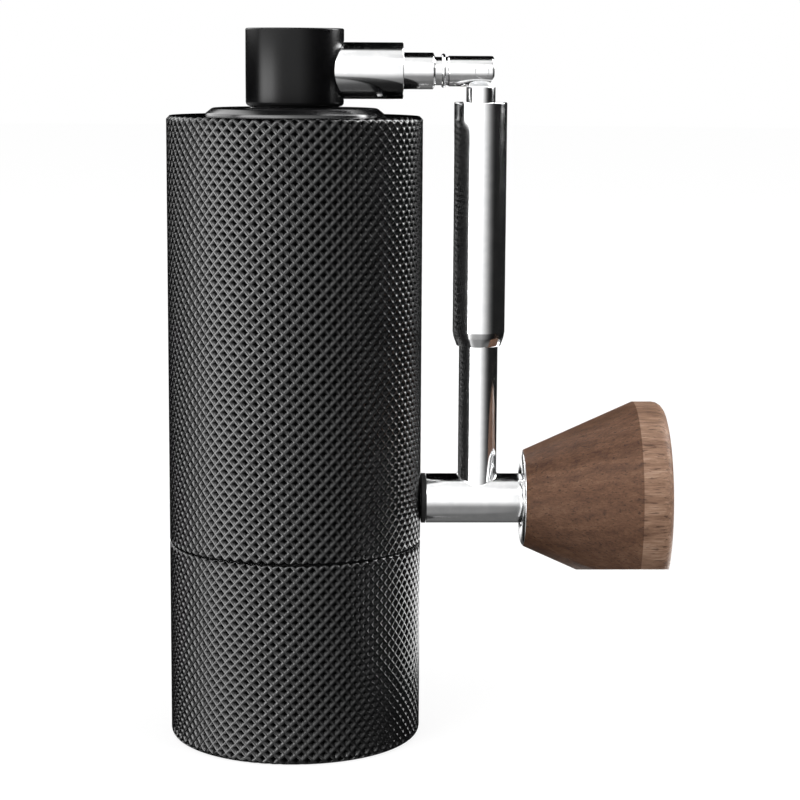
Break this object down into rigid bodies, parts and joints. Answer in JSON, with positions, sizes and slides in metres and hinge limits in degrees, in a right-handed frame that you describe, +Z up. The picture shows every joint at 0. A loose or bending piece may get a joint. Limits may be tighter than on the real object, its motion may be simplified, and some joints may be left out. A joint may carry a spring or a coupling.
{
  "type": "hand crank coffee grinder",
  "caption": "Cylindrical conical-burr hand coffee grinder with a knurled body, screw-on catch cup and a folding crank with a turning wooden knob.",
  "frame": {"origin": "centre of the catch cup's flat foot, on the body's axis, in the plane that the grinder stands on", "axes": "+Z up along the body's axis and drive shaft; +X towards the folded crank arm and its knob; +Y across, away from the hinge pin's near end"},
  "size_m": [0.0933, 0.047, 0.1319],
  "materials": {
    "black_anodised": "black anodised, knurled",
    "black_satin": "satin black",
    "black_rubber": "matt rubber",
    "bare_aluminium": "turned",
    "polished_steel": "polished",
    "brushed_steel": "turned",
    "burr_steel": "ground and hardened",
    "brass": "turned",
    "walnut": "oiled walnut"
  },
  "bodies": {
    "catch_cup": {"catch_cup": "black_anodised"},
    "cup_gasket": {"cup_gasket": "black_rubber"},
    "grinder_body": {"outer_shell": "black_anodised", "chamber": "bare_aluminium", "lower_bearing_carrier": "bare_aluminium", "upper_bearing_carrier": "bare_aluminium", "lower_outer_race": "brushed_steel", "upper_outer_race": "brushed_steel", "ring_burr": "burr_steel", "burr_retaining_ring": "brushed_steel"},
    "drive_shaft": {"drive_shaft": "brushed_steel", "lower_inner_race": "brushed_steel", "upper_inner_race": "brushed_steel", "shaft_circlip": "brushed_steel", "spring_washer": "brushed_steel", "burr_spring": "brushed_steel"},
    "inner_burr": {"inner_burr": "burr_steel", "click_plate": "brushed_steel"},
    "grind_dial": {"grind_dial": "black_satin", "detent_ball_a": "brushed_steel", "detent_ball_b": "brushed_steel"},
    "lid": {"lid": "black_satin"},
    "crank_head": {"crank_hub": "black_satin", "hub_ferrule": "polished_steel", "hinge_spigot": "polished_steel", "detent_ring": "polished_steel", "hinge_pin": "polished_steel"},
    "crank_arm": {"crank_arm": "polished_steel", "sleeve_o_ring": "black_rubber", "arm_bumper": "black_rubber", "knob_bush": "brass"},
    "lock_sleeve": {"lock_sleeve": "polished_steel"},
    "knob": {"knob_wood": "walnut", "knob_collar": "polished_steel", "knob_insert": "brass", "knob_screw": "brushed_steel", "screw_washer": "brushed_steel"}
  },
  "joints": [
    {"name": "body_lift", "type": "slide", "parent": "catch_cup", "child": "cup_gasket", "axis": [0, 0, 1], "range_m": [0, 0.045]},
    {"name": "body_unscrew", "type": "hinge", "parent": "cup_gasket", "child": "grinder_body", "pos_m": [0, 0, 0.033], "axis": [0, 0, 1], "range_deg": [0, 540]},
    {"name": "crank_turn", "type": "hinge", "parent": "grinder_body", "child": "drive_shaft", "pos_m": [0, 0, 0.08], "axis": [0, 0, -1], "continuous": true},
    {"name": "dial_turn", "type": "hinge", "parent": "inner_burr", "child": "grind_dial", "pos_m": [0, 0, 0.0284], "axis": [0, 0, -1], "range_deg": [0, 720]},
    {"name": "burr_gap", "type": "slide", "parent": "drive_shaft", "child": "inner_burr", "axis": [0, 0, -1], "range_m": [0, 0.0015], "deforming": ["burr_spring"]},
    {"name": "crank_lift", "type": "slide", "parent": "drive_shaft", "child": "crank_head", "axis": [0, 0, 1], "range_m": [0, 0.024]},
    {"name": "lid_lift", "type": "slide", "parent": "grinder_body", "child": "lid", "axis": [0, 0, 1], "range_m": [0, 0.0121]},
    {"name": "arm_fold", "type": "hinge", "parent": "crank_head", "child": "crank_arm", "pos_m": [0.0341, 0, 0.1243], "axis": [0, -1, 0], "range_deg": [0, 90]},
    {"name": "sleeve_slide", "type": "slide", "parent": "crank_arm", "child": "lock_sleeve", "axis": [0, 0, -1], "range_m": [-0.002, 0.02]},
    {"name": "knob_spin", "type": "hinge", "parent": "crank_arm", "child": "knob", "pos_m": [0.055, 0, 0.0448], "axis": [1, 0, 0], "continuous": true}
  ],
  "couplings": [
    {"joint": "dial_turn", "follows": "burr_gap", "rad_per_m": 8377.6},
    {"joint": "lid_lift", "follows": "crank_lift", "ratio": 0.5}
  ]
}
